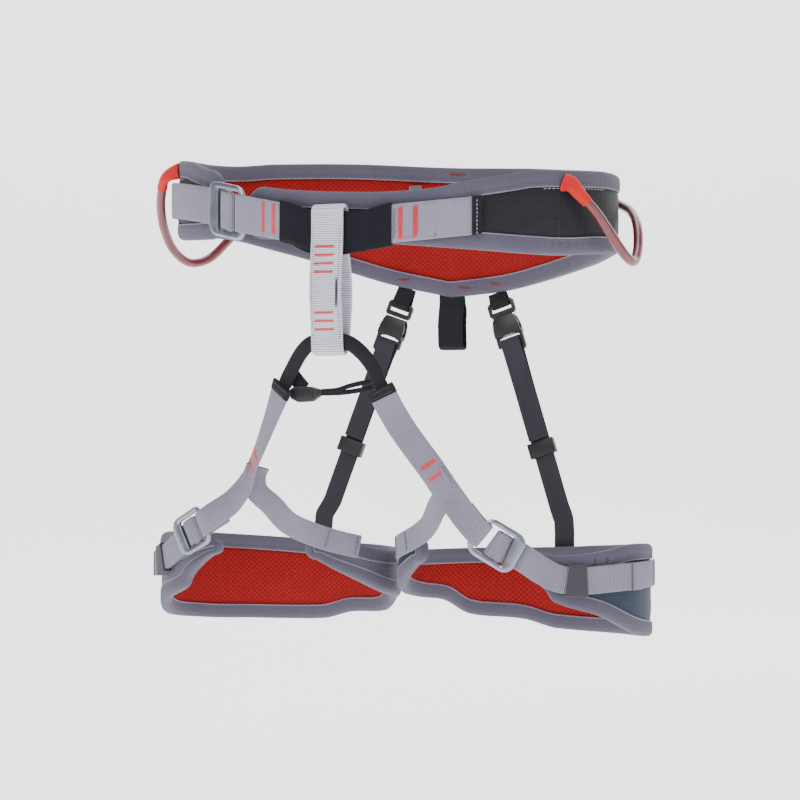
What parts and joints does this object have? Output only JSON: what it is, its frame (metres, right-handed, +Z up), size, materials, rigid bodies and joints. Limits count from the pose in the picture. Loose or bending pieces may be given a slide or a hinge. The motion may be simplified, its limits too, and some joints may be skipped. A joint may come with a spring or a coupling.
{
  "type": "climbing sit harness",
  "caption": "Padded sit harness with waist belt, leg loops, belay loop, bridge, strap buckles, elastic risers, gear loops and haul loop.",
  "frame": {"origin": "centre of the waist opening, level with the middle of the belt", "axes": "+Z up, -Y to the wearer's front, +X to the wearer's left"},
  "size_m": [0.3694, 0.2305, 0.3406],
  "materials": {
    "binding_fabric": "woven polyester edge binding, grey-lavender, matt",
    "mesh_lining": "red open spacer mesh, matt",
    "foam": "closed-cell foam, hidden between shell and lining",
    "black_shell": "black ripstop nylon, slight sheen",
    "grey_shell": "grey ripstop nylon, matt",
    "blue_shell": "blue-grey ripstop nylon, matt",
    "grey_webbing": "light grey nylon webbing with fine ribs",
    "pale_webbing": "pale grey load webbing with fine cross ribs",
    "black_webbing": "black nylon webbing",
    "charcoal_elastic": "charcoal elastic webbing",
    "grey_elastic": "grey elastic band",
    "aluminium": "satin anodised forged aluminium",
    "black_plastic": "black moulded acetal",
    "maroon_tube": "maroon coated plastic tube over cord",
    "red_cover": "bright red fabric cover sleeve",
    "label_fabric": "grey woven label, blank"
  },
  "bodies": {
    "waist_belt": {"waist_binding": "binding_fabric", "waist_foam": "foam", "waist_shell": "black_shell", "waist_lining": "mesh_lining", "waist_buckle_frame": "aluminium", "waist_strap": "grey_webbing", "waist_strap_keeper": "grey_elastic", "waist_label_tab": "black_webbing", "waist_size_label": "label_fabric", "tie_in_webbing": "grey_webbing", "tie_in_sleeve": "black_shell", "bridge": "black_webbing", "bridge_elastic": "black_webbing", "bridge_hook": "black_plastic", "bridge_tab": "black_webbing", "riser_left_tab": "black_webbing", "riser_left_plug": "black_plastic", "riser_left_socket": "black_plastic", "riser_right_tab": "black_webbing", "riser_right_plug": "black_plastic", "riser_right_socket": "black_plastic"},
    "waist_lock": {"waist_buckle_lock_bar": "aluminium"},
    "belay_loop": {"belay_loop": "pale_webbing"},
    "haul_loop": {"haul_loop": "black_webbing"},
    "gear_loop_left": {"gear_loop_left_cover": "red_cover", "gear_loop_left_tube": "maroon_tube"},
    "gear_loop_right": {"gear_loop_right_cover": "red_cover", "gear_loop_right_tube": "maroon_tube"},
    "leg_left": {"leg_left_binding": "binding_fabric", "leg_left_foam": "foam", "leg_left_shell": "blue_shell", "leg_left_lining": "mesh_lining", "leg_left_buckle_frame": "aluminium", "leg_left_adjust_strap": "grey_webbing", "leg_left_keeper": "grey_elastic", "leg_left_front_strap": "grey_webbing", "leg_left_inner_branch": "grey_webbing", "riser_left_elastic": "charcoal_elastic"},
    "leg_left_lock": {"leg_left_buckle_lock_bar": "aluminium"},
    "leg_right": {"leg_right_binding": "binding_fabric", "leg_right_foam": "foam", "leg_right_shell": "grey_shell", "leg_right_lining": "mesh_lining", "leg_right_buckle_frame": "aluminium", "leg_right_adjust_strap": "grey_webbing", "leg_right_keeper": "grey_elastic", "leg_right_front_strap": "grey_webbing", "leg_right_inner_branch": "grey_webbing", "leg_right_size_label": "label_fabric", "riser_right_elastic": "charcoal_elastic"},
    "leg_right_lock": {"leg_right_buckle_lock_bar": "aluminium"},
    "riser_left_slider": {"riser_left_slider": "black_plastic"},
    "riser_left_prong_outer": {"riser_left_prong_outer": "black_plastic"},
    "riser_left_prong_inner": {"riser_left_prong_inner": "black_plastic"},
    "riser_right_slider": {"riser_right_slider": "black_plastic"},
    "riser_right_prong_outer": {"riser_right_prong_outer": "black_plastic"},
    "riser_right_prong_inner": {"riser_right_prong_inner": "black_plastic"}
  },
  "joints": [
    {"name": "waist_lock_travel", "type": "slide", "parent": "waist_belt", "child": "waist_lock", "axis": [0.9204, -0.3274, -0.2136], "range_m": [0, 0.0022]},
    {"name": "belay_loop_swing", "type": "hinge", "parent": "waist_belt", "child": "belay_loop", "pos_m": [0.0055, -0.1151, 0.0008], "axis": [-1, 0, 0], "range_deg": [0, 10], "stiffness_Nm_per_rad": 0.02, "deforming": ["tie_in_sleeve", "tie_in_webbing", "bridge"]},
    {"name": "haul_loop_swing", "type": "hinge", "parent": "waist_belt", "child": "haul_loop", "pos_m": [0, 0.1054, -0.0484], "axis": [1, 0, 0], "range_deg": [-20, 60]},
    {"name": "gear_loop_left_lift", "type": "hinge", "parent": "waist_belt", "child": "gear_loop_left", "pos_m": [0.149, -0.0504, 0.019], "axis": [0.0953, -0.9954, 0], "range_deg": [0, 55]},
    {"name": "gear_loop_right_lift", "type": "hinge", "parent": "waist_belt", "child": "gear_loop_right", "pos_m": [-0.1494, -0.0507, 0.038], "axis": [0.0984, 0.9927, -0.0696], "range_deg": [0, 55]},
    {"name": "leg_left_swing", "type": "hinge", "parent": "waist_belt", "child": "leg_left", "pos_m": [0.0935, -0.107, -0.111], "axis": [-1, 0, 0], "range_deg": [-6, 9], "stiffness_Nm_per_rad": 6, "springref_deg": -0.52, "deforming": ["riser_left_elastic"]},
    {"name": "leg_left_lock_travel", "type": "slide", "parent": "leg_left", "child": "leg_left_lock", "axis": [-0.7815, -0.3306, 0.5291], "range_m": [0, 0.0022]},
    {"name": "leg_right_swing", "type": "hinge", "parent": "waist_belt", "child": "leg_right", "pos_m": [-0.0935, -0.107, -0.111], "axis": [-1, 0, 0], "range_deg": [-6, 9], "stiffness_Nm_per_rad": 6, "springref_deg": -0.52, "deforming": ["riser_right_elastic"]},
    {"name": "leg_right_lock_travel", "type": "slide", "parent": "leg_right", "child": "leg_right_lock", "axis": [0.8737, -0.1872, 0.449], "range_m": [0, 0.0022]},
    {"name": "riser_left_slider_travel", "type": "slide", "parent": "waist_belt", "child": "riser_left_slider", "axis": [0.3258, -0.096, -0.9406], "range_m": [0, 0.018]},
    {"name": "riser_left_outer_squeeze", "type": "slide", "parent": "waist_belt", "child": "riser_left_prong_outer", "axis": [-0.9454, -0.0331, -0.3241], "range_m": [0, 0.0012], "stiffness_N_per_m": 800},
    {"name": "riser_left_inner_squeeze", "type": "slide", "parent": "waist_belt", "child": "riser_left_prong_inner", "axis": [0.9454, 0.0331, 0.3241], "range_m": [0, 0.0012], "stiffness_N_per_m": 800},
    {"name": "riser_right_slider_travel", "type": "slide", "parent": "waist_belt", "child": "riser_right_slider", "axis": [-0.3258, -0.096, -0.9406], "range_m": [0, 0.018]},
    {"name": "riser_right_outer_squeeze", "type": "slide", "parent": "waist_belt", "child": "riser_right_prong_outer", "axis": [0.9454, -0.0331, -0.3241], "range_m": [0, 0.0012], "stiffness_N_per_m": 800},
    {"name": "riser_right_inner_squeeze", "type": "slide", "parent": "waist_belt", "child": "riser_right_prong_inner", "axis": [-0.9454, 0.0331, 0.3241], "range_m": [0, 0.0012], "stiffness_N_per_m": 800}
  ],
  "couplings": [
    {"joint": "riser_left_inner_squeeze", "follows": "riser_left_outer_squeeze", "ratio": 1},
    {"joint": "riser_right_inner_squeeze", "follows": "riser_right_outer_squeeze", "ratio": 1}
  ]
}
